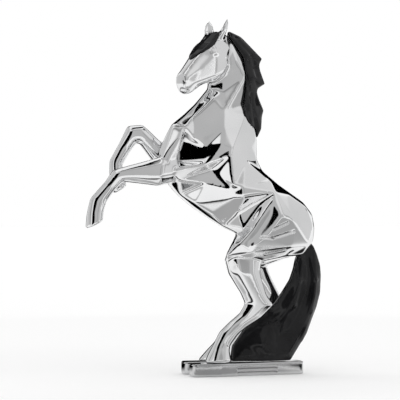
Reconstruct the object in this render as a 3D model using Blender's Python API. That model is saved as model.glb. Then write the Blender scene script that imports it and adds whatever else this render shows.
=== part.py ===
"""Rearing horse on a low base: faceted cast body with mane, forelock and tail."""

import math

import bmesh
import bpy
from mathutils import Vector
from mathutils.geometry import delaunay_2d_cdt

for old in list(bpy.data.objects):
    bpy.data.objects.remove(old, do_unlink=True)

# Driving sizes, in metres and radians
HORSE_HEIGHT = 0.342
BODY_WIDTH = 0.062
BASE_THICK = 0.013
BASE_CORNER = 0.005
BASE_EASE = 0.0007
FIT = 0.0003
HEAD_TURN = math.radians(24.0)

# The pose is drawn in shares: 342 shares to the height, 62 to the width
TALL = HORSE_HEIGHT / 342.0
WIDE = BODY_WIDTH / 62.0
SOLE = BASE_THICK + FIT

# The head turns about this point of the neck (along, up)
HEAD_PIVOT = (-23.8, 310.3)

# Steps round each rounded corner of the base
CORNER_STEPS = 6

# Corners closer than this are merged after a cut, in metres
MERGE = 0.00001

# A crossing this close to a span lies on it, in shares
ON_SPAN = 0.001

# Sharp corners of a grown cutter move out by at most this many gaps
SHARP_LIMIT = 2.0

# Eight corners of a leg ring: share from front to rear, share of half width
LEG_RING = (
    (0.0, 0.45), (0.28, 1.0), (0.72, 1.0), (1.0, 0.45),
    (1.0, -0.45), (0.72, -1.0), (0.28, -1.0), (0.0, -0.45),
)


def in_body(along, out, up):
    """Shares in the body's frame to metres; out is toward the near side."""
    return Vector((along * TALL, -out * WIDE, SOLE + up * TALL))


def in_head(forward, out, up):
    """Shares in the turned head's frame to metres."""
    pivot = in_body(HEAD_PIVOT[0], 0.0, HEAD_PIVOT[1])
    reach = forward * TALL
    side = out * WIDE
    return pivot + Vector((
        -reach * math.cos(HEAD_TURN) + side * math.sin(HEAD_TURN),
        -reach * math.sin(HEAD_TURN) - side * math.cos(HEAD_TURN),
        up * TALL,
    ))


def solid(name, points, faces):
    """A closed triangulated object with its faces turned outward."""
    mesh = bpy.data.meshes.new(name)
    mesh.from_pydata(points, [], faces)
    shape = bmesh.new()
    shape.from_mesh(mesh)
    bmesh.ops.triangulate(shape, faces=shape.faces)
    bmesh.ops.recalc_face_normals(shape, faces=shape.faces)
    shape.to_mesh(mesh)
    shape.free()
    obj = bpy.data.objects.new(name, mesh)
    bpy.context.scene.collection.objects.link(obj)
    return obj


def span_under(spot, flat, spans):
    """The span nearest to a spot, and the share of the way along it."""
    best = None
    for first, second in spans:
        run = flat[second] - flat[first]
        share = min(max((spot - flat[first]).dot(run) / run.length_squared, 0.0), 1.0)
        away = (flat[first] + share * run - spot).length
        if best is None or away < best[0] - ON_SPAN:
            best = (away, first, second, share)
    return best[1:]


def relief(name, rim, raised, ridges, place, far_moves=None):
    """A solid with mirrored sides, from its side view.

    rim is the outline in order and raised the points inside it; each point is
    (along, up, out). ridges are chains of names that must become edges; where
    they cross each other or the rim, the crossing becomes a corner.
    far_moves shifts named points of the far side by (along, up).
    """
    spots = {**rim, **raised}
    index = {label: number for number, label in enumerate(spots)}
    flat = [Vector((spot[0], spot[1])) for spot in spots.values()]
    outs = [spot[2] for spot in spots.values()]
    moves = [Vector((far_moves or {}).get(label, (0, 0))) for label in spots]
    lines = []
    for chain in ridges:
        steps = [index[label] for label in chain.split()]
        lines += list(zip(steps, steps[1:]))
    outline = list(range(len(rim)))
    spans = list(zip(outline, outline[1:] + outline[:1])) + lines
    result = delaunay_2d_cdt(flat, lines, [outline], 1, 1e-6)
    near = []
    far = []
    for spot, sources in zip(result[0], result[3]):
        if sources:
            spot = flat[sources[0]]
            out = outs[sources[0]]
            move = moves[sources[0]]
        else:
            first, second, share = span_under(spot, flat, spans)
            out = outs[first] + share * (outs[second] - outs[first])
            move = moves[first].lerp(moves[second], share)
        near.append(place(spot.x, out, spot.y))
        far.append(place(spot.x + move.x, -out, spot.y + move.y))
    triangles = result[2]
    used = sorted({corner for triangle in triangles for corner in triangle})
    slot = {corner: number for number, corner in enumerate(used)}
    count = len(used)
    points = [near[corner] for corner in used] + [far[corner] for corner in used]
    faces = []
    sides = {}
    for triangle in triangles:
        corners = [slot[corner] for corner in triangle]
        faces.append(corners)
        faces.append([corner + count for corner in reversed(corners)])
        for first, second in zip(corners, corners[1:] + corners[:1]):
            sides.setdefault(frozenset((first, second)), []).append((first, second))
    for found in sides.values():
        if len(found) == 1:
            first, second = found[0]
            faces.append([second, first, first + count, second + count])
    return solid(name, points, faces)


def loft(name, rings):
    """A solid through rings that all have the same number of corners."""
    size = len(rings[0])
    points = [point for ring in rings for point in ring]
    faces = [list(range(size))]
    for level in range(len(rings) - 1):
        for corner in range(size):
            after = (corner + 1) % size
            low = level * size
            high = low + size
            faces.append([low + corner, low + after, high + after, high + corner])
    faces.append(list(range(len(points) - size, len(points))))
    return solid(name, points, faces)


def leg(name, side, sections):
    """Rings down a leg; each is front (x, z), rear (x, z), out, half width."""
    rings = []
    for front_x, front_z, rear_x, rear_z, out, half in sections:
        front = Vector((front_x, front_z))
        rear = Vector((rear_x, rear_z))
        ring = []
        for share, spread in LEG_RING:
            spot = front.lerp(rear, share)
            ring.append(in_body(spot.x, side * (out + spread * half), spot.y))
        rings.append(ring)
    return loft(name, rings)


def hull(name, points):
    """The convex solid around the points."""
    shape = bmesh.new()
    for point in points:
        shape.verts.new(point)
    made = bmesh.ops.convex_hull(shape, input=shape.verts)
    loose = [item for item in made["geom_interior"] if item.is_valid]
    bmesh.ops.delete(shape, geom=loose, context="VERTS")
    bmesh.ops.recalc_face_normals(shape, faces=shape.faces)
    mesh = bpy.data.meshes.new(name)
    shape.to_mesh(mesh)
    shape.free()
    obj = bpy.data.objects.new(name, mesh)
    bpy.context.scene.collection.objects.link(obj)
    return obj


def combine(target, tools, operation):
    """Apply a Boolean with each tool and remove the tools."""
    for tool in tools:
        step = target.modifiers.new(tool.name, "BOOLEAN")
        step.object = tool
        step.operation = operation
        step.solver = "EXACT"
        graph = bpy.context.evaluated_depsgraph_get()
        mesh = bpy.data.meshes.new_from_object(target.evaluated_get(graph))
        target.modifiers.clear()
        target.data = mesh
        bpy.data.objects.remove(tool, do_unlink=True)
    return target


def grown(source, name, gap):
    """A copy of a solid moved outward by the gap, to cut a fit with."""
    shape = bmesh.new()
    shape.from_mesh(source.data)
    bmesh.ops.triangulate(shape, faces=shape.faces)
    shape.normal_update()
    moves = []
    for vert in shape.verts:
        moves.append(min(vert.calc_shell_factor(), SHARP_LIMIT) * gap * vert.normal)
    for vert, move in zip(shape.verts, moves):
        vert.co += move
    mesh = bpy.data.meshes.new(name)
    shape.to_mesh(mesh)
    shape.free()
    obj = bpy.data.objects.new(name, mesh)
    bpy.context.scene.collection.objects.link(obj)
    return obj


def tidy(obj):
    """Drop doubled corners and slivers that the Booleans leave."""
    shape = bmesh.new()
    shape.from_mesh(obj.data)
    bmesh.ops.triangulate(shape, faces=shape.faces)
    bmesh.ops.remove_doubles(shape, verts=shape.verts, dist=MERGE)
    bmesh.ops.dissolve_degenerate(shape, edges=shape.edges, dist=MERGE)
    bmesh.ops.triangulate(shape, faces=shape.faces)
    bmesh.ops.recalc_face_normals(shape, faces=shape.faces)
    shape.to_mesh(obj.data)
    shape.free()
    return obj


def paint(obj, colour, metallic, roughness):
    """Give the object its own plain material."""
    material = bpy.data.materials.new(obj.name + "_finish")
    material.use_nodes = True
    shader = material.node_tree.nodes["Principled BSDF"]
    shader.inputs["Base Color"].default_value = (*colour, 1.0)
    shader.inputs["Metallic"].default_value = metallic
    shader.inputs["Roughness"].default_value = roughness
    obj.data.materials.clear()
    obj.data.materials.append(material)


# Trunk, neck and haunches: outline from the poll along the back and round
TRUNK_RIM = {
    "poll": (-16.5, 325.4, 5), "crest_upper": (-1, 307, 4), "crest_mid": (5, 283, 5),
    "crest_low": (5.2, 256.8, 6), "withers_front": (10.9, 223.8, 5),
    "withers": (11.4, 201.7, 4), "back": (17.6, 189.7, 4), "loin": (33.3, 176.7, 5),
    "croup": (58.9, 159.2, 5), "croup_rear": (68.9, 146.5, 5),
    "tailhead": (71, 132.4, 6), "buttock": (68.9, 119.3, 8), "dock": (57.3, 106.3, 12),
    "ham_rear": (35, 104, 17), "ham": (9, 99, 20), "knee_under": (-20, 97.5, 20),
    "knee_front": (-26.5, 105.5, 24.5), "thigh_front": (-19.5, 117, 24),
    "flank_low": (-10.8, 127.6, 12), "belly_rear": (-24.8, 135, 7),
    "belly_mid": (-40.5, 145, 7), "belly_front": (-56, 155.8, 7),
    "sternum": (-69, 166.5, 7), "brisket": (-78, 177, 8), "breast": (-85, 205, 8),
    "chest": (-73.5, 236.5, 8), "neck_front_low": (-61.5, 246.5, 6),
    "neck_front_mid": (-51.5, 256, 5), "throat": (-38.5, 271.5, 5),
    "jaw_root": (-36, 290, 6), "brow_root": (-30, 312, 6),
}
TRUNK_RAISED = {
    "jaw_neck": (-27, 268, 9), "neck_ridge": (-35, 262.9, 12),
    "neck_ridge_low": (-57.5, 242.5, 16), "neck_upper": (-12, 300, 10),
    "throat_side": (-24, 281, 7), "mane_up": (-2.2, 285.3, 9),
    "mane_low": (-3.5, 244.2, 14), "fan_tip": (-25.4, 248.9, 17),
    "neck_low": (-26.9, 231.9, 21), "shoulder": (-66.1, 232.6, 21),
    "shoulder_front": (-76, 222, 13), "dish": (-49, 202, 20), "dish_front": (-76, 199, 12.5),
    "dish_top": (-46, 213, 21.5), "dish_edge": (-60, 218, 17), "elbow_side": (-80, 191, 23),
    "dish_end": (-31, 215.5, 25.5), "plate_edge": (-58, 222, 21),
    "blade_tip": (-19.3, 213.1, 26), "band_mid": (-46, 196.5, 24),
    "band_low": (-74.5, 180.8, 21), "armpit_rear": (-40, 191, 19),
    "spike": (-21.9, 205.6, 28), "rib_dip": (-34, 186, 21),
    "rib_star": (-20.1, 172.1, 27.5), "rib_tip": (-19.5, 175.6, 30.5),
    "fan_dip": (-46, 178, 22), "rib_low": (-19.4, 163.3, 26.5),
    "square_in": (-18, 172.4, 27.8), "square_in_low": (-17.4, 163.4, 27.5),
    "square_top": (-9.8, 173.9, 30.8), "square_low": (-9.8, 163.8, 30.5),
    "belly_side": (-55.2, 157.5, 15), "belly_edge": (-38, 147.5, 14),
    "flank_dip": (-12, 149, 18), "hollow": (2, 158, 20.5), "back_side": (-3.8, 200.1, 17),
    "withers_side": (2, 214, 14), "back_edge": (17.5, 182.5, 16),
    "loin_side": (21.2, 180.1, 18), "crease_high": (11.5, 158, 22),
    "crease_mid": (0.5, 142.5, 20), "crease_low": (-7, 132, 19),
    "hip": (24.3, 168.7, 25), "thigh_top": (20.6, 160.8, 27),
    "sweep_a": (20.3, 149, 27.7), "sweep_b": (6, 129, 28.4), "sweep_c": (-4, 118.5, 29),
    "thigh_mid": (2.5, 135.6, 28.5), "thigh_low": (-13.5, 118.4, 29),
    "crest_a": (29.5, 145.5, 31), "crest_b": (15.5, 127.5, 31), "crest_c": (3, 117, 31),
    "rump_edge_a": (42, 166, 12), "rump_edge_b": (60.5, 153.5, 12),
    "rump_edge_c": (66.5, 136, 13), "rump_edge_d": (62, 115.5, 15),
    "rump_side": (42, 142.4, 27.5),
    "buttock_side": (41.1, 114, 24), "ham_low": (-1.3, 108.5, 29),
}
TRUNK_RIDGES = (
    "throat neck_ridge neck_ridge_low shoulder",
    "neck_ridge jaw_neck mane_up",
    "neck_ridge fan_tip neck_low blade_tip",
    "jaw_neck fan_tip",
    "mane_up fan_tip mane_low",
    "shoulder plate_edge dish_top dish_end",
    "shoulder_front dish_edge dish_top",
    "plate_edge dish_edge dish dish_top",
    "shoulder_front dish_front dish dish_end blade_tip",
    "shoulder_front elbow_side band_mid blade_tip",
    "band_low armpit_rear spike",
    "spike rib_tip rib_star",
    "band_low fan_dip rib_star",
    "belly_side rib_star square_in square_top loin_side",
    "belly_side rib_low square_in_low square_low hip",
    "rib_star rib_low",
    "square_in square_in_low",
    "square_top square_low",
    "rib_tip square_top",
    "belly_edge flank_dip hollow hip",
    "blade_tip withers_side",
    "spike back_side back_edge loin_side",
    "withers back_side",
    "hip crease_high crease_mid crease_low flank_low",
    "hip thigh_top thigh_mid thigh_low knee_front",
    "thigh_top sweep_a sweep_b sweep_c ham_low",
    "thigh_top crest_a crest_b crest_c ham_low",
    "hip rump_edge_a rump_edge_b rump_edge_c rump_edge_d ham_rear",
    "hip rump_side buttock_side ham_low knee_front",
)

# The far thigh stands further back than the near one
FAR_THIGH = {
    "knee_front": (13, 0), "thigh_front": (12, 0), "knee_under": (14, -3),
    "flank_low": (5, 0), "thigh_low": (10, 0), "ham_low": (10, -3), "sweep_c": (8, 0),
    "crest_c": (8, 0), "ham": (16, -6), "ham_rear": (10, -3), "thigh_mid": (5, 0),
}

# Head, drawn facing forward from the pivot: (forward, up, out)
HEAD_RIM = {
    "nape": (-6, 12, 7), "poll": (6, 18.5, 8), "forehead_top": (14, 15.5, 11.6),
    "forehead": (23, 5, 12), "bridge": (37, -8, 7.5), "nose": (47.3, -20, 6),
    "nose_tip": (53.3, -27, 6), "muzzle": (54, -35, 6.5), "lip": (50.8, -42, 6),
    "chin": (47, -45.7, 5), "chin_rear": (41.9, -44.2, 4.5), "jaw_front": (30, -36.5, 4.5),
    "jaw_mid": (20.7, -32.8, 5), "jaw_rear": (12.7, -32, 6), "jaw_end": (4, -25, 7),
    "jaw_in": (-8, -14, 6),
}
HEAD_RAISED = {
    "cheek_corner": (6.5, -22, 12), "cheek_rear": (2.5, -14, 12.5),
    "cheek_top": (4, -4, 12.5), "eye": (17, -2, 13), "temple": (9, 9, 11.5),
    "crest_bone": (33, -18, 10), "nostril": (49.5, -29, 8), "mouth": (43, -36, 7.5),
    "cheek_low": (17, -27, 11.5), "nape_side": (-3, 2, 10),
}
HEAD_RIDGES = (
    "forehead eye crest_bone nostril",
    "eye cheek_top cheek_rear cheek_corner cheek_low mouth",
    "temple cheek_top nape_side",
)

trunk = relief("horse_body", TRUNK_RIM, TRUNK_RAISED, TRUNK_RIDGES, in_body, FAR_THIGH)
head = relief("head", HEAD_RIM, HEAD_RAISED, HEAD_RIDGES, in_head)

# Ears: rings from the root to the tip, hollow in front
EAR_ROOT = (8.8, 15.5)
EAR_TIP = (5.2, 31.6)
EAR_OUT = 10.0
EAR_LEAN = 4.6
EAR_HALF = 5.8
EAR_DEPTH = 5.6
EAR_INWARD = math.radians(25.0)
# Ear outline seen from above: share of depth forward, share of half width out
EAR_RING = ((0.5, 1.0), (-0.25, 0.0), (0.5, -1.0), (-0.5, -0.8), (-0.95, 0.0), (-0.5, 0.8))
# Levels of the ear: share of its height, share of its width
EAR_LEVELS = ((-0.35, 0.8), (0.12, 1.0), (0.6, 0.8), (1.0, 0.2))


def ear(name, side):
    """A short pointed ear, scooped in front and opening a little inward."""
    rings = []
    for share, size in EAR_LEVELS:
        forward = EAR_ROOT[0] + (EAR_TIP[0] - EAR_ROOT[0]) * share
        up = EAR_ROOT[1] + (EAR_TIP[1] - EAR_ROOT[1]) * share
        out = EAR_OUT + EAR_LEAN * share
        ring = []
        for ahead, across in EAR_RING:
            ahead *= EAR_DEPTH * size
            across *= EAR_HALF * size
            turned_ahead = ahead * math.cos(EAR_INWARD) + across * math.sin(EAR_INWARD)
            turned_out = across * math.cos(EAR_INWARD) - ahead * math.sin(EAR_INWARD)
            ring.append(in_head(forward + turned_ahead, side * (out + turned_out), up))
        rings.append(ring)
    return loft(name, rings)


# Upper arms: the raised bar from the shoulder point down to the elbow
NEAR_UPPER_ARM = (
    (-81, 231, 12), (-77.5, 237.6, 12), (-66.6, 234.5, 20), (-70, 226, 23),
    (-92, 211, 14), (-90.5, 203.5, 25), (-85, 200, 26), (-79, 236, 17),
    (-72, 220, 8), (-86, 200, 8), (-80, 180, 20), (-93.7, 178, 19),
)
FAR_UPPER_ARM = (
    (-75, 226, 12), (-70.5, 231.6, 12), (-60, 229, 20), (-64, 220, 23),
    (-84, 217, 14), (-91, 201, 17), (-85, 198.5, 24.5), (-77, 195, 24), (-70, 201, 9),
)

# Forelegs and hind legs: front (x, z), rear (x, z), out, half width
NEAR_FORE = (
    (-73, 205, -76, 178.5, 13.5, 7.5), (-89.5, 204, -93.5, 174.8, 20, 8.5),
    (-112, 197.5, -112, 177, 20, 7.6), (-138.5, 190.7, -129, 178.8, 20, 6.8),
    (-147, 178.5, -138, 169.5, 20, 5.4), (-161.5, 162.5, -145.3, 159.5, 20, 5.8),
    (-164.7, 148, -148.8, 149.5, 20, 6.6), (-166.1, 132.6, -149.3, 140, 20, 8.2),
)
FAR_FORE = (
    (-62, 202, -72, 180, 17, 7), (-83, 219.5, -91, 200, 18, 7.2),
    (-100.8, 236, -104, 217, 18, 6.6), (-116, 234.7, -107.5, 217.5, 18, 6.4),
    (-125, 217, -113.5, 209, 18, 4.8), (-134.5, 200, -121.8, 195.5, 18, 5.4),
    (-134.8, 188.7, -120.5, 188.6, 18, 6), (-130.5, 167, -117.5, 174.5, 18, 7.4),
)
NEAR_HIND = (
    (-15, 113, 12, 114, 16.5, 6), (-25.7, 102.5, 11.2, 99.5, 18, 7.6),
    (-22.1, 88.6, 10.2, 88.3, 18, 7.8), (-9.3, 68.3, 16.7, 67.4, 18, 6.8),
    (-4.9, 58.1, 24.7, 56.8, 18, 6.2), (-10, 49.3, 11, 43.6, 18, 5.4),
    (-20.8, 40.5, -3.2, 35, 18, 5), (-31, 30.6, -12.9, 27.6, 18, 6),
    (-37.1, 18.5, -21.2, 15.6, 18, 6), (-42.5, 8.5, -20.5, 8, 18, 8.4),
    (-46, 0, -19.2, 0, 18, 9.6),
)
# The far hind leg stands with its knee and hock further back
FAR_HIND = (
    (-3, 108, 26, 108, 16.5, 6), (-10, 98, 26.5, 95, 18, 7.6),
    (-2, 84, 32.5, 81, 18, 7.6), (13, 68, 40.8, 65.5, 18, 6.8),
    (17, 58.1, 47.5, 54.8, 18, 6.2), (9, 49.3, 31, 42.6, 18, 5.4),
    (-6, 40.5, 13, 34, 18, 5), (-18.5, 30.6, 0.5, 26.6, 18, 6),
    (-27, 18.5, -9, 15, 18, 6), (-35, 10, -10.5, 8, 18, 8.4),
    (-44, 0, -9.5, 0, 18, 9.6),
)

# Space between the thighs, open from below
CLEFT = [
    in_body(along, out, up)
    for along in (-40, 64)
    for out, up in ((-9, 80), (9, 80), (-2, 127), (2, 127))
]

limbs = [head, ear("ear_near", 1), ear("ear_far", -1)]
trunk = combine(trunk, [hull("cleft", CLEFT)], "DIFFERENCE")
for side, corners in ((1, NEAR_UPPER_ARM), (-1, FAR_UPPER_ARM)):
    bar = [in_body(along, side * out, up) for along, up, out in corners]
    limbs.append(hull("upper_arm", bar))
limbs += [
    leg("near_fore", 1, NEAR_FORE), leg("far_fore", -1, FAR_FORE),
    leg("near_hind", 1, NEAR_HIND), leg("far_hind", -1, FAR_HIND),
]
body = tidy(combine(trunk, limbs, "UNION"))
body.name = "horse_body"

# Mane: a crest sheet with three flicked tips that straddles the neck
MANE_RIM = {
    "front": (-17.6, 329.6, 4), "arch": (-5, 324.1, 3.5), "arch_low": (4.6, 315.1, 3),
    "tip_one": (17.8, 302.5, 2), "notch_one": (14.5, 296.3, 2.5),
    "upper": (15.6, 290.5, 2.5), "tip_two": (20.8, 277, 2), "notch_two": (12.8, 272.6, 3),
    "mid": (12, 268.5, 3), "lower": (14.9, 260.2, 3), "tip_three": (19.3, 250.9, 2),
    "end_side": (17.1, 243.8, 3), "end_low": (16.6, 231.8, 3), "end": (12, 223, 4),
    "inner_low": (0, 238, 13), "inner_e": (-4.6, 245, 15.5), "inner_d": (-3.8, 258.7, 14.5),
    "inner_c": (-2.4, 270, 13), "inner_b": (-2.2, 287, 11.5),
    "inner_a": (-3.9, 303, 10.5), "inner_top": (-17.5, 322.5, 9),
}
MANE_RAISED = {
    "lock_a": (-7, 319, 9.5), "lock_b": (3, 305, 9), "lock_c": (12, 301.5, 5),
    "furrow_a": (4.5, 293, 6.5), "lock_d": (6, 284, 10.5), "lock_e": (15, 276.5, 5.5),
    "furrow_b": (5.5, 268, 8), "lock_f": (5, 256, 12.5), "lock_g": (11, 243, 9),
    "furrow_c": (12.5, 256, 6), "lock_h": (8, 232, 7),
}
MANE_RIDGES = (
    "front lock_a lock_b lock_c tip_one",
    "inner_a furrow_a notch_one",
    "inner_b lock_d lock_e tip_two",
    "inner_c furrow_b notch_two",
    "inner_d lock_f lock_g lock_h end",
    "furrow_b furrow_c tip_three",
)

# Tail: a folded sheet that sweeps down to the base and spreads there
TAIL_RIM = {
    "root_high": (66, 121, 3), "outer_a": (71.5, 114.5, 3), "outer_b": (75, 106, 3),
    "outer_c": (78.2, 95.5, 3), "outer_d": (79, 85, 3), "outer_e": (78, 67.5, 3.5),
    "outer_f": (74.3, 53.5, 3.5), "outer_g": (69.7, 42.5, 4), "outer_h": (63.5, 27, 5),
    "outer_i": (51.7, 9.4, 7), "heel": (45, 0, 9), "foot": (18, 0, 12),
    "toe": (-15, 0, 6), "inner_a": (-13.4, 15.9, 4), "inner_b": (0, 33.7, 4),
    "inner_c": (17.6, 47.5, 4), "inner_d": (30.8, 57.8, 4), "inner_e": (38.9, 69.8, 4),
    "inner_f": (46.2, 81, 4), "inner_g": (50.2, 92.3, 4), "inner_h": (52, 101, 4),
    "root_low": (56, 112, 4),
}
TAIL_RAISED = {
    "fold_a": (71, 100, 7.5), "fold_b": (72, 84, 9), "fold_c": (70, 64, 10),
    "fold_d": (62.5, 45, 11), "fold_e": (52, 25, 12.5), "fold_f": (41, 8, 14),
    "dip_a": (64, 100, 5), "dip_b": (64, 82, 6), "dip_c": (60.5, 64, 6.5),
    "dip_d": (52, 44, 8), "dip_e": (38, 24, 9.5), "dip_f": (28, 8, 11.5),
    "lock_a": (57.5, 99, 8), "lock_b": (56, 84, 9.5), "lock_c": (49.5, 67, 10.5),
    "lock_d": (39.5, 50, 11.5), "lock_e": (24, 35, 11), "lock_f": (15, 18, 12.5),
    "web_a": (8, 32, 8.5), "web_b": (0, 16, 7.5),
}
TAIL_RIDGES = (
    "outer_a fold_a fold_b fold_c fold_d fold_e fold_f heel",
    "root_high dip_a dip_b dip_c dip_d dip_e dip_f foot",
    "root_low lock_a lock_b lock_c lock_d lock_e lock_f foot",
    "inner_c web_a web_b toe",
)

# Forelock, down the forehead's top line: (forward, up), then how far it
# reaches to the near and the far side, and how far it hangs over the near side
FORELOCK = (
    ((8.5, 17.4), 8.5, -4.5, 0.5), ((14.0, 15.4), 11.6, -4.2, 2.6),
    ((18.4, 10.4), 11.9, -4.3, 3.2), ((22.4, 5.8), 11.9, -10.2, 4.0),
    ((26.3, 2.0), 11.3, -11.6, 2.8), ((30.5, -2.0), 9.8, -10.2, 1.2),
    ((35.5, -6.7), 5.4, -7.8, 0.2), ((39.5, -11.0), 1.0, -4.2, 0.0),
)
LOCK_OVER = 1.9
LOCK_UNDER = 3.5
LOCK_SIDE = 1.5
LOCK_TUCK = 4.5
LOCK_TUCK_SHARE = 0.3
LOCK_END_LIFT = 0.55
LOCK_EDGE_LIFT = 0.6


def forelock():
    """A lock over the top of the head, thick enough to be cut to fit."""
    rings = []
    last = len(FORELOCK) - 1
    for number, ((forward, up), near, far, hang) in enumerate(FORELOCK):
        before = Vector(FORELOCK[max(number - 1, 0)][0])
        after = Vector(FORELOCK[min(number + 1, last)][0])
        run = (after - before).normalized()
        lift = LOCK_OVER * (LOCK_END_LIFT if number in (0, last) else 1.0)
        tuck = min(LOCK_TUCK, (near - far) * LOCK_TUCK_SHARE)
        ring = []
        for out, height in (
            (near - tuck, -LOCK_UNDER), (near + LOCK_SIDE, -hang),
            (near + LOCK_SIDE * LOCK_EDGE_LIFT, lift * LOCK_EDGE_LIFT), ((near + far) / 2.0, lift),
            (far, lift * LOCK_EDGE_LIFT), (far + tuck, -LOCK_UNDER),
        ):
            ring.append(in_head(forward - run.y * height, out, up + run.x * height))
        rings.append(ring)
    return loft("forelock", rings)


# Base plate in plan, the near half from front to rear: (along, across)
BASE_HALF = (
    (-34, 3.2), (-60, 7), (-60, 27), (-31, 27), (-8, 21), (30, 14.5), (58.5, 11.5),
)
# Which of those corners are rounded upright
BASE_ROUND = (False, True, True, False, False, False, True)


def base_outline():
    """The plan of the base with its upright corners rounded, in metres."""
    corners = [(Vector(spot), turn) for spot, turn in zip(BASE_HALF, BASE_ROUND)]
    corners += [(Vector((spot.x, -spot.y)), turn) for spot, turn in reversed(corners)]
    corners = [(Vector((s.x * TALL, -s.y * WIDE)), turn) for s, turn in corners]
    outline = []
    for number, (spot, turn) in enumerate(corners):
        if not turn:
            outline.append(spot)
            continue
        before = (corners[number - 1][0] - spot).normalized()
        after = (corners[(number + 1) % len(corners)][0] - spot).normalized()
        start = spot + before * BASE_CORNER
        end = spot + after * BASE_CORNER
        for step in range(CORNER_STEPS + 1):
            share = step / CORNER_STEPS
            first = start.lerp(spot, share)
            second = spot.lerp(end, share)
            outline.append(first.lerp(second, share))
    return outline


def base_plate():
    """A flat plate with a prong under each hind hoof and eased edges."""
    plan = base_outline()
    rings = []
    for height, inset in (
        (0.0, BASE_EASE), (BASE_EASE, 0.0), (BASE_THICK - BASE_EASE, 0.0),
        (BASE_THICK, BASE_EASE),
    ):
        ring = []
        for number, spot in enumerate(plan):
            before = (spot - plan[number - 1]).normalized()
            after = (plan[(number + 1) % len(plan)] - spot).normalized()
            inward = Vector((-before.y - after.y, before.x + after.x)).normalized()
            moved = spot + inward * inset
            ring.append(Vector((moved.x, moved.y, height)))
        rings.append(ring)
    return loft("base", rings)


mane = relief("mane", MANE_RIM, MANE_RAISED, MANE_RIDGES, in_body)
tail = relief("tail", TAIL_RIM, TAIL_RAISED, TAIL_RIDGES, in_body)
lock = forelock()
for piece in (mane, tail, lock):
    cutters = [grown(body, piece.name + "_fit", gap) for gap in (0.0, FIT)]
    tidy(combine(piece, cutters, "DIFFERENCE"))
base = base_plate()

paint(body, (0.78, 0.79, 0.8), 1.0, 0.06)
paint(mane, (0.015, 0.015, 0.016), 0.0, 0.12)
paint(lock, (0.015, 0.015, 0.016), 0.0, 0.12)
paint(tail, (0.015, 0.015, 0.016), 0.0, 0.12)
paint(base, (0.78, 0.79, 0.8), 1.0, 0.08)
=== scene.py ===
"""Rearing horse: polished chrome casting with black lacquered mane, forelock and tail."""

import math

import bmesh
import bpy
import numpy as np
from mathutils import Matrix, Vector
from mathutils.bvhtree import BVHTree


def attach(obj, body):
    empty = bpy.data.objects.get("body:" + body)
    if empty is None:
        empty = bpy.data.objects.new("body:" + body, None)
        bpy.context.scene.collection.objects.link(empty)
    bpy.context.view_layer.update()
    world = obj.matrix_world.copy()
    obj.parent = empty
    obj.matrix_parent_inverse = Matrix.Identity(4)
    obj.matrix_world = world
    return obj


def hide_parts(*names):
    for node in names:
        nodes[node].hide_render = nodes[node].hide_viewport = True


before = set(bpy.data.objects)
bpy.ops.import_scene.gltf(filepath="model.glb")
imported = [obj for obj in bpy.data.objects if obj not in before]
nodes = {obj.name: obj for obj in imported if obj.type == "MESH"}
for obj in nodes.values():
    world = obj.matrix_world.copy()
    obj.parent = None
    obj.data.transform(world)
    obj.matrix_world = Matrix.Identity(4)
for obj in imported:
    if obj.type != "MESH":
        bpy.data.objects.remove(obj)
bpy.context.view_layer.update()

# Camera: the horse's left side, seen a little from the front
VIEW_TURN = math.radians(14.0)
AIM_ALONG = -0.045
AIM_UP = 0.1743
CAMERA_AWAY = 2.2
LENS = 198.0
SENSOR_WIDTH = 36.0

# Directions of the main view, and the point that the studio is built round
right = Vector((math.cos(VIEW_TURN), -math.sin(VIEW_TURN), 0.0))
ahead = Vector((math.sin(VIEW_TURN), math.cos(VIEW_TURN), 0.0))
up = Vector((0.0, 0.0, 1.0))
middle = up * AIM_UP

# Casting: the size of its cells, and how far its ridges and faces are rounded
BODY_VOXEL = 0.00155
SMALL_VOXEL = 0.0006
WELD = 1e-6
FIRST_ROUNDS = 6
RELAX_SHARE = 0.6
SMALL_CELL_PERCENTILE = 20
RIDGE_LIMIT = 0.0007
CROWN_LIMIT = 0.0003

# The trunk, neck and head are meshed finer on the side that shows
FINE_LOW = (-0.095, -0.06, 0.112)
FINE_HIGH = (0.065, -0.008, 0.335)

# Marks: ends of the line in millimetres along the view and up, radius, height
MM_PER_METRE = 1000
SEEN_FULLY = 0.3
SHORTEST_SQUARED = 1e-12

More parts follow.
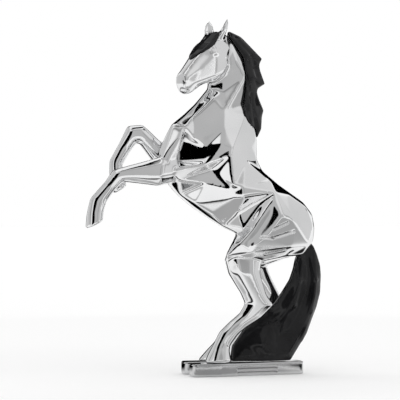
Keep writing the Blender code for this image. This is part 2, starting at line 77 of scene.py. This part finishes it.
# Eyeball, the fold over it, cheek dimple, nostril and mouth
HEAD_MARKS = (
    ((-31.0, 320.5), (-28.5, 321.0), 3.6, 0.9),
    ((-34.5, 323.2), (-26.0, 323.6), 1.2, -0.5),
    ((-18.4, 313.7), (-18.4, 313.7), 2.2, -0.8),
    ((-62.5, 295.5), (-60.8, 290.0), 1.4, -1.0),
    ((-63.0, 283.3), (-56.7, 282.0), 1.1, -0.8),
)
HAUNCH_MARKS = (
    ((15.0, 137.5), (27.0, 136.5), 1.0, -1.1),
    ((27.0, 136.5), (48.3, 143.3), 0.95, -1.0),
    ((28.0, 145.5), (42.2, 152.0), 0.9, -0.8),
    ((20.0, 120.8), (39.0, 124.6), 0.9, -0.8),
)
MARKS = {
    "horse_body": HEAD_MARKS + HAUNCH_MARKS,
    "mane": (
        ((-10.0, 337.0), (7.0, 318.0), 1.9, -0.9),
        ((7.0, 318.0), (12.0, 298.0), 1.9, -0.9),
        ((-2.0, 312.0), (4.0, 285.0), 1.9, -0.8),
        ((6.0, 280.0), (10.0, 248.0), 1.9, -0.9),
        ((1.0, 268.0), (6.0, 246.0), 1.7, -0.7),
    ),
    "tail": (
        ((53.0, 112.0), (55.0, 94.0), 2.2, 0.6),
        ((55.0, 94.0), (49.0, 70.0), 2.4, 0.7),
        ((49.0, 70.0), (33.0, 54.0), 2.4, 0.7),
        ((33.0, 54.0), (17.0, 46.0), 2.2, 0.6),
        ((66.0, 116.0), (71.5, 94.0), 2.0, 0.6),
        ((71.5, 94.0), (67.0, 62.0), 2.2, 0.6),
        ((67.0, 62.0), (57.0, 34.0), 2.2, 0.6),
        ((44.0, 62.0), (33.0, 30.0), 2.6, -0.6),
    ),
    "base": (
        ((-7.0, 7.4), (31.0, 7.4), 0.7, -1.4),
        ((-7.0, 3.6), (31.0, 3.6), 0.7, -1.4),
    ),
}


def grey(level):
    """A neutral colour."""
    return (level, level, level, 1.0)


# Finishes: scale and detail of each noise, and the two stops of each ramp
CLOUD_DETAIL = 2.0
SMEAR_DETAIL = 4.0
GRAIN_DETAIL = 1.0
GRAIN_DEPTH = 0.0002

CHROME_CLOUDS = 30.0
CHROME_DIM_STOP = 0.35
CHROME_BRIGHT_STOP = 0.7
CHROME_SMEARS = 90.0
CHROME_GLOSS = ((0.3, grey(0.03)), (0.75, grey(0.075)))
CHROME_GRAIN = 220.0
CHROME_GRAIN_STRENGTH = 0.08

LACQUER_CLOUDS = 60.0
LACQUER_TINT = ((0.3, (0.006, 0.006, 0.0065, 1.0)), (0.75, (0.014, 0.014, 0.015, 1.0)))
LACQUER_SHINE = 0.27
LACQUER_SMEARS = 110.0
LACQUER_GLOSS = ((0.3, grey(0.06)), (0.75, grey(0.13)))
LACQUER_GRAIN = 260.0
LACQUER_GRAIN_STRENGTH = 0.1

# Painted shade in creases: how far it reaches, its samples, and the two stops of its ramp
CREASE_REACH = 0.006
CREASE_SAMPLES = 8
CREASE_SHADE = ((0.5, grey(0.05)), (0.9, grey(1.0)))

# The colour sockets of a Mix node
MIX_FIRST = 6
MIX_SECOND = 7
MIX_RESULT = 2


def welded(node, name):
    """A copy of a CAD node's mesh with its split corners joined again."""
    shape = bmesh.new()
    shape.from_mesh(nodes[node].data)
    bmesh.ops.remove_doubles(shape, verts=shape.verts, dist=WELD)
    mesh = bpy.data.meshes.new(name)
    shape.to_mesh(mesh)
    shape.free()
    obj = bpy.data.objects.new(name, mesh)
    bpy.context.scene.collection.objects.link(obj)
    return obj


def even_mesh(obj, voxel):
    """Rebuild the object's mesh from even cells of about the voxel's size."""
    step = obj.modifiers.new("even", "REMESH")
    step.mode = "VOXEL"
    step.voxel_size = voxel
    graph = bpy.context.evaluated_depsgraph_get()
    mesh = bpy.data.meshes.new_from_object(obj.evaluated_get(graph))
    obj.modifiers.clear()
    old = obj.data
    obj.data = mesh
    bpy.data.meshes.remove(old)


def finer(obj, low, high):
    """Split the cells once in a box, where small marks need them."""
    shape = bmesh.new()
    shape.from_mesh(obj.data)
    inside = []
    for face in shape.faces:
        spot = face.calc_center_median()
        if all(low[i] < spot[i] < high[i] for i in range(3)):
            inside.append(face)
    edges = {edge for face in inside for edge in face.edges}
    bmesh.ops.subdivide_edges(shape, edges=list(edges), cuts=1, use_grid_fill=True)
    shape.to_mesh(obj.data)
    shape.free()


def positions(mesh):
    """Where the vertices are, one row for each."""
    spots = np.empty(len(mesh.vertices) * 3, np.float64)
    mesh.vertices.foreach_get("co", spots)
    return spots.reshape(-1, 3)


def place(mesh, spots):
    """Move the vertices to the given rows."""
    mesh.vertices.foreach_set("co", spots.reshape(-1))
    mesh.update()


def normals(mesh):
    """The direction in which the surface faces at each vertex."""
    facing = np.empty(len(mesh.vertices) * 3, np.float32)
    mesh.vertex_normals.foreach_get("vector", facing)
    return facing.reshape(-1, 3).astype(float)


def edge_ends(mesh):
    """The numbers of the two vertices of each edge."""
    ends = np.empty(len(mesh.edges) * 2, np.int64)
    mesh.edges.foreach_get("vertices", ends)
    return ends.reshape(-1, 2)


def neighbour_mean(spots, ends, count):
    """Mean of the neighbours of each vertex."""
    total = np.empty_like(spots)
    for axis in range(3):
        value = spots[:, axis]
        total[:, axis] = np.bincount(ends[:, 0], value[ends[:, 1]], len(spots))
        total[:, axis] += np.bincount(ends[:, 1], value[ends[:, 0]], len(spots))
    return total / count[:, None]


def relax(mesh, rounds):
    """Round the ridges by moving each vertex toward its neighbours' mean.

    A vertex among large cells moves by a smaller share, so that ridges in the
    finer part and outside it are rounded alike.
    """
    spots = positions(mesh)
    ends = edge_ends(mesh)
    count = np.bincount(ends.reshape(-1), minlength=len(spots)).astype(float)
    length = np.linalg.norm(spots[ends[:, 0]] - spots[ends[:, 1]], axis=1)
    cell = np.bincount(ends.reshape(-1), np.repeat(length, 2), len(spots)) / count
    small = np.percentile(cell, SMALL_CELL_PERCENTILE)
    share = RELAX_SHARE * np.clip(small / cell, 0.0, 1.0) ** 2
    for _ in range(rounds):
        spots += share[:, None] * (neighbour_mean(spots, ends, count) - spots)
    place(mesh, spots)


def settle(mesh, surface):
    """Move each vertex to the nearest spot of the CAD surface."""
    spots = positions(mesh)
    for number, spot in enumerate(spots):
        spots[number] = surface.find_nearest(spot)[0]
    place(mesh, spots)


def ease(mesh, rounds, share, limit):
    """Relax the mesh by a share, and no vertex by more than the limit."""
    crisp = positions(mesh)
    relax(mesh, rounds)
    move = share * (positions(mesh) - crisp)
    length = np.linalg.norm(move, axis=1)
    move *= (limit / np.maximum(length, limit))[:, None]
    place(mesh, crisp + move)


def carve(mesh, marks):
    """Raise or sink soft marks on the side that shows in the main view."""
    spots = positions(mesh)
    facing = normals(mesh)
    along = spots @ np.array(right)
    seen = np.clip(-(facing @ np.array(ahead)) / SEEN_FULLY, 0.0, 1.0)
    for first, last, radius, height in marks:
        first = np.array(first) / MM_PER_METRE
        run = np.array(last) / MM_PER_METRE - first
        reach = np.stack([along, spots[:, 2]], axis=1) - first
        share = np.clip(reach @ run / max(run @ run, SHORTEST_SQUARED), 0.0, 1.0)
        away = np.linalg.norm(reach - share[:, None] * run, axis=1) * MM_PER_METRE
        lift = seen * np.exp(-((away / radius) ** 2)) * height / MM_PER_METRE
        spots += facing * lift[:, None]
    place(mesh, spots)


def shade_smooth(mesh):
    """Shade the cells as one smooth surface."""
    mesh.polygons.foreach_set("use_smooth", [True] * len(mesh.polygons))
    mesh.update()


def casting(node, name, voxel, rounds, soft_rounds, soft_share):
    """A smooth casting in the place of a CAD node."""
    obj = welded(node, name)
    surface = BVHTree.FromObject(obj, bpy.context.evaluated_depsgraph_get())
    even_mesh(obj, voxel)
    if node == "horse_body":
        finer(obj, FINE_LOW, FINE_HIGH)
    relax(obj.data, FIRST_ROUNDS)
    settle(obj.data, surface)
    ease(obj.data, rounds, 1.0, RIDGE_LIMIT)
    ease(obj.data, soft_rounds, soft_share, CROWN_LIMIT)
    if node in MARKS:
        carve(obj.data, MARKS[node])
    shade_smooth(obj.data)
    return obj


def principled(name):
    """A new material with its node tree and its Principled shader."""
    material = bpy.data.materials.new(name)
    material.use_nodes = True
    tree = material.node_tree
    return material, tree, tree.nodes["Principled BSDF"]


def noise(tree, scale, detail):
    """A noise texture in object space."""
    coords = tree.nodes.new("ShaderNodeTexCoord")
    node = tree.nodes.new("ShaderNodeTexNoise")
    node.inputs["Scale"].default_value = scale
    node.inputs["Detail"].default_value = detail
    tree.links.new(coords.outputs["Object"], node.inputs["Vector"])
    return node.outputs["Fac"]


def ramp(tree, source, stops):
    """Turn a value into a colour between two stops, each a place and a colour."""
    node = tree.nodes.new("ShaderNodeValToRGB")
    for element, (at, colour) in zip(node.color_ramp.elements, stops):
        element.position = at
        element.color = colour
    tree.links.new(source, node.inputs["Fac"])
    return node.outputs["Color"]


def crease_shaded(tree, tint):
    """Darken a colour in tight creases by ambient occlusion: painted shade."""
    crease = tree.nodes.new("ShaderNodeAmbientOcclusion")
    crease.samples = CREASE_SAMPLES
    crease.only_local = True
    crease.inputs["Distance"].default_value = CREASE_REACH
    # Painted shade: the more closed in a spot is, the darker its colour
    painted_shade = ramp(tree, crease.outputs["AO"], CREASE_SHADE)
    mix = tree.nodes.new("ShaderNodeMix")
    mix.data_type = "RGBA"
    mix.blend_type = "MULTIPLY"
    mix.inputs["Factor"].default_value = 1.0
    tree.links.new(tint, mix.inputs[MIX_FIRST])
    tree.links.new(painted_shade, mix.inputs[MIX_SECOND])
    return mix.outputs[MIX_RESULT]


def worn(tree, shader, smears, gloss, grain, strength):
    """Give a shader smears in its gloss and a fine grain."""
    smeared = ramp(tree, noise(tree, smears, SMEAR_DETAIL), gloss)
    tree.links.new(smeared, shader.inputs["Roughness"])
    bump = tree.nodes.new("ShaderNodeBump")
    bump.inputs["Strength"].default_value = strength
    bump.inputs["Distance"].default_value = GRAIN_DEPTH
    tree.links.new(noise(tree, grain, GRAIN_DETAIL), bump.inputs["Height"])
    tree.links.new(bump.outputs["Normal"], shader.inputs["Normal"])


def chrome(name, dim, bright):
    """Polished plating, a little dimmer in places, with painted shade in its creases."""
    material, tree, shader = principled(name)
    shader.inputs["Metallic"].default_value = 1.0
    stops = ((CHROME_DIM_STOP, dim), (CHROME_BRIGHT_STOP, bright))
    tint = ramp(tree, noise(tree, CHROME_CLOUDS, CLOUD_DETAIL), stops)
    # The plating's colour is the tint with painted shade in its creases
    tree.links.new(crease_shaded(tree, tint), shader.inputs["Base Color"])
    worn(tree, shader, CHROME_SMEARS, CHROME_GLOSS, CHROME_GRAIN, CHROME_GRAIN_STRENGTH)
    return material


def lacquer(name):
    """Black gloss paint, a little greyer in places."""
    material, tree, shader = principled(name)
    tint = ramp(tree, noise(tree, LACQUER_CLOUDS, CLOUD_DETAIL), LACQUER_TINT)
    tree.links.new(tint, shader.inputs["Base Color"])
    shader.inputs["Specular IOR Level"].default_value = LACQUER_SHINE
    worn(tree, shader, LACQUER_SMEARS, LACQUER_GLOSS, LACQUER_GRAIN, LACQUER_GRAIN_STRENGTH)
    return material


def fitted(obj, node, material):
    """Give a piece its finish, hang it under the root, and hide the CAD node it replaces."""
    obj.data.materials.clear()
    obj.data.materials.append(material)
    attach(obj, "root")
    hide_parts(node)


chrome_finish = chrome("chrome_plating", (0.80, 0.805, 0.81, 1.0), (0.87, 0.87, 0.875, 1.0))
base_finish = chrome("base_plating", (0.53, 0.535, 0.54, 1.0), (0.61, 0.61, 0.615, 1.0))
lacquer_finish = lacquer("black_lacquer")

# Each casting: node, name, cell, rounds on the ridges, rounds and share of the
# crowning, slot and finish
CASTINGS = (
    ("horse_body", "horse_casting", BODY_VOXEL, 24, 60, 0.15, "chrome", chrome_finish),
    ("mane", "mane_casting", SMALL_VOXEL, 16, 80, 0.5, "black_lacquer", lacquer_finish),
    ("forelock", "forelock_casting", SMALL_VOXEL, 6, 20, 0.3, "black_lacquer", lacquer_finish),
    ("tail", "tail_casting", SMALL_VOXEL, 24, 160, 0.7, "black_lacquer", lacquer_finish),
    ("base", "base_casting", SMALL_VOXEL, 5, 10, 0.2, "chrome", base_finish),
)
for node, name, voxel, rounds, soft_rounds, soft_share, slot, finish in CASTINGS:
    piece = casting(node, name, voxel, rounds, soft_rounds, soft_share)
    fitted(piece, node, finish)

# Studio: a white room, with cards that only the polished faces mirror
FLOOR_HALF = 12.0
FLOOR_TINT = 0.96
FLOOR_GLOW = 0.05
FLOOR_ROUGHNESS = 0.8
FLOOR_SHINE = 0.1
FLOOR_CARD_LIFT = 0.0005
ROOM_LIGHT = 1.0

# Each card: turn from the camera to the right, height, width and tallness in
# degrees as seen from the horse, distance, brightness, and how soft its edge is
CARDS = (
    ("camera_gap", -13, 8, 37, 54, 1.1, 0.0, 0.1),
    ("camera_gap_low", -13, -19, 20, 12, 1.1, 0.0, 0.2),
    ("left_rear_flag", -160, 0, 44, 110, 1.1, 0.0, 0.15),
    ("left_top_flag", -120, 62, 26, 9, 1.1, 0.0, 0.3),
    ("right_high_flag", 154, 25, 32, 34, 1.1, 0.0, 0.2),
    ("right_back_flag", 111, 21, 9, 12, 1.1, 0.0, 0.4),
    ("right_rear_flag", 161, 0, 30, 110, 1.1, 0.0, 0.15),
    ("top_gap", 50, 74, 50, 14, 1.1, 0.0, 0.25),
    ("back_top_gap", -13, 56, 22, 8, 1.1, 0.1, 0.4),
    ("front_light", 52, 32, 40, 36, 1.35, 0.8, 0.6),
    ("front_strip", 28, 4, 10, 40, 1.4, 0.36, 0.9),
    ("front_fill", 30, 10, 66, 100, 1.6, 0.52, 0.25),
    ("high_strip", 0, 44, 60, 8, 1.3, 0.3, 0.9),
    ("right_strip", 68, 15, 10, 60, 1.5, 0.42, 0.9),
    ("right_fill", 92, 15, 64, 100, 1.7, 0.72, 0.3),
    ("left_strip", -58, 5, 12, 80, 1.4, 0.26, 0.9),
    ("left_fill", -80, 15, 88, 100, 1.6, 0.62, 0.3),
    ("left_high_fill", -115, 50, 50, 24, 1.4, 0.36, 0.9),
)

# Cards that lie on the floor: along, across, length, width, brightness, edge
FLOOR_CARDS = (
    (0.5, -0.52, 1.0, 0.8, 0.42, 0.5),
    (-0.6, -0.45, 0.6, 0.7, 0.5, 0.6),
    (-0.05, -0.21, 0.6, 0.14, 0.03, 0.7),
    (-0.02, -0.08, 0.26, 0.12, 0.42, 0.6),
    (-0.22, 0.24, 0.5, 0.44, 0.0, 0.4),
    (0.15, -0.09, 0.15, 0.15, 0.02, 0.5),
)


def maths(tree, operation, *values):
    """The result of a Math node, for numbers and other nodes' outputs."""
    node = tree.nodes.new("ShaderNodeMath")
    node.operation = operation
    for socket, value in zip(node.inputs, values):
        if isinstance(value, float):
            socket.default_value = value
        else:
            tree.links.new(value, socket)
    return node.outputs["Value"]


def card_finish(name, level, soft):
    """Plain light or dark, fading out toward the card's edge."""
    material = bpy.data.materials.new(name)
    material.use_nodes = True
    tree = material.node_tree
    tree.nodes.clear()
    coords = tree.nodes.new("ShaderNodeTexCoord")
    split = tree.nodes.new("ShaderNodeSeparateXYZ")
    tree.links.new(coords.outputs["Generated"], split.inputs["Vector"])

    # How far out each spot lies, from 0 in the middle to 1 at the edge
    reach = []
    for axis in ("X", "Y"):
        off_centre = maths(tree, "SUBTRACT", split.outputs[axis], 0.5)
        reach.append(maths(tree, "MULTIPLY", maths(tree, "ABSOLUTE", off_centre), 2.0))
    fade = tree.nodes.new("ShaderNodeMapRange")
    fade.interpolation_type = "SMOOTHSTEP"
    fade.inputs["From Min"].default_value = 1.0 - soft
    fade.inputs["From Max"].default_value = 1.0
    tree.links.new(maths(tree, "MAXIMUM", *reach), fade.inputs["Value"])

    glow = tree.nodes.new("ShaderNodeEmission")
    glow.inputs["Color"].default_value = grey(level)
    clear = tree.nodes.new("ShaderNodeBsdfTransparent")
    mix = tree.nodes.new("ShaderNodeMixShader")
    amount, shown, hidden = mix.inputs
    tree.links.new(fade.outputs["Result"], amount)
    tree.links.new(glow.outputs["Emission"], shown)
    tree.links.new(clear.outputs["BSDF"], hidden)
    out = tree.nodes.new("ShaderNodeOutputMaterial")
    tree.links.new(mix.outputs["Shader"], out.inputs["Surface"])
    return material


def panel(name, centre, target, width, height, material):
    """A flat card that faces a point and isn't part of the object."""
    obj = bpy.data.objects.new(name, bpy.data.meshes.new(name))
    half_w = width / 2
    half_h = height / 2
    corners = [
        (-half_w, -half_h, 0), (half_w, -half_h, 0),
        (half_w, half_h, 0), (-half_w, half_h, 0),
    ]
    obj.data.from_pydata(corners, [], [(0, 1, 2, 3)])
    obj.data.materials.append(material)
    bpy.context.scene.collection.objects.link(obj)
    obj.location = centre
    obj.rotation_mode = "QUATERNION"
    obj.rotation_quaternion = (target - centre).to_track_quat("Z", "Y")
    return obj


def only_mirrored(obj):
    """Keep a card out of everything but reflections."""
    obj.visible_camera = False
    obj.visible_diffuse = False
    obj.visible_shadow = False


def spread(degrees, away):
    """The length that fills an angle at a distance."""
    return 2 * away * math.tan(math.radians(degrees) / 2)


def hung_card(name, turn, height, wide, tall, away, level, soft):
    """A card that hangs round the horse and faces its middle."""
    turn = math.radians(turn)
    height = math.radians(height)
    level_way = right * math.sin(turn) - ahead * math.cos(turn)
    centre = middle + away * (level_way * math.cos(height) + up * math.sin(height))
    finish = card_finish(name, level, soft)
    only_mirrored(panel(name, centre, middle, spread(wide, away), spread(tall, away), finish))


def floor_card(name, along, across, length, width, level, soft):
    """A card that lies just over the floor."""
    centre = Vector((along, across, FLOOR_CARD_LIFT))
    finish = card_finish(name, level, soft)
    only_mirrored(panel(name, centre, centre + up, length, width, finish))


def studio_floor():
    """A pale, plain floor that glows a little."""
    material, _, shader = principled("studio_floor")
    shader.inputs["Base Color"].default_value = grey(FLOOR_TINT)
    shader.inputs["Emission Color"].default_value = grey(1.0)
    shader.inputs["Emission Strength"].default_value = FLOOR_GLOW
    shader.inputs["Roughness"].default_value = FLOOR_ROUGHNESS
    shader.inputs["Specular IOR Level"].default_value = FLOOR_SHINE
    panel("floor", Vector(), up, 2 * FLOOR_HALF, 2 * FLOOR_HALF, material)


def studio_light():
    """Even white light from the whole room."""
    world = bpy.data.worlds.new("studio")
    bpy.context.scene.world = world
    world.use_nodes = True
    background = world.node_tree.nodes["Background"]
    background.inputs["Color"].default_value = grey(1.0)
    background.inputs["Strength"].default_value = ROOM_LIGHT


def studio_camera():
    """A long lens at the photo's angle."""
    camera = bpy.data.objects.new("camera", bpy.data.cameras.new("camera"))
    bpy.context.scene.collection.objects.link(camera)
    camera.location = middle + right * AIM_ALONG - ahead * CAMERA_AWAY
    camera.rotation_mode = "QUATERNION"
    camera.rotation_quaternion = ahead.to_track_quat("-Z", "Y")
    camera.data.lens = LENS
    camera.data.sensor_width = SENSOR_WIDTH
    bpy.context.scene.camera = camera


studio_floor()
for card in CARDS:
    hung_card(*card)
for number, card in enumerate(FLOOR_CARDS):
    floor_card(f"floor_card_{number}", *card)
studio_light()
studio_camera()
bpy.context.scene.view_settings.view_transform = "Standard"
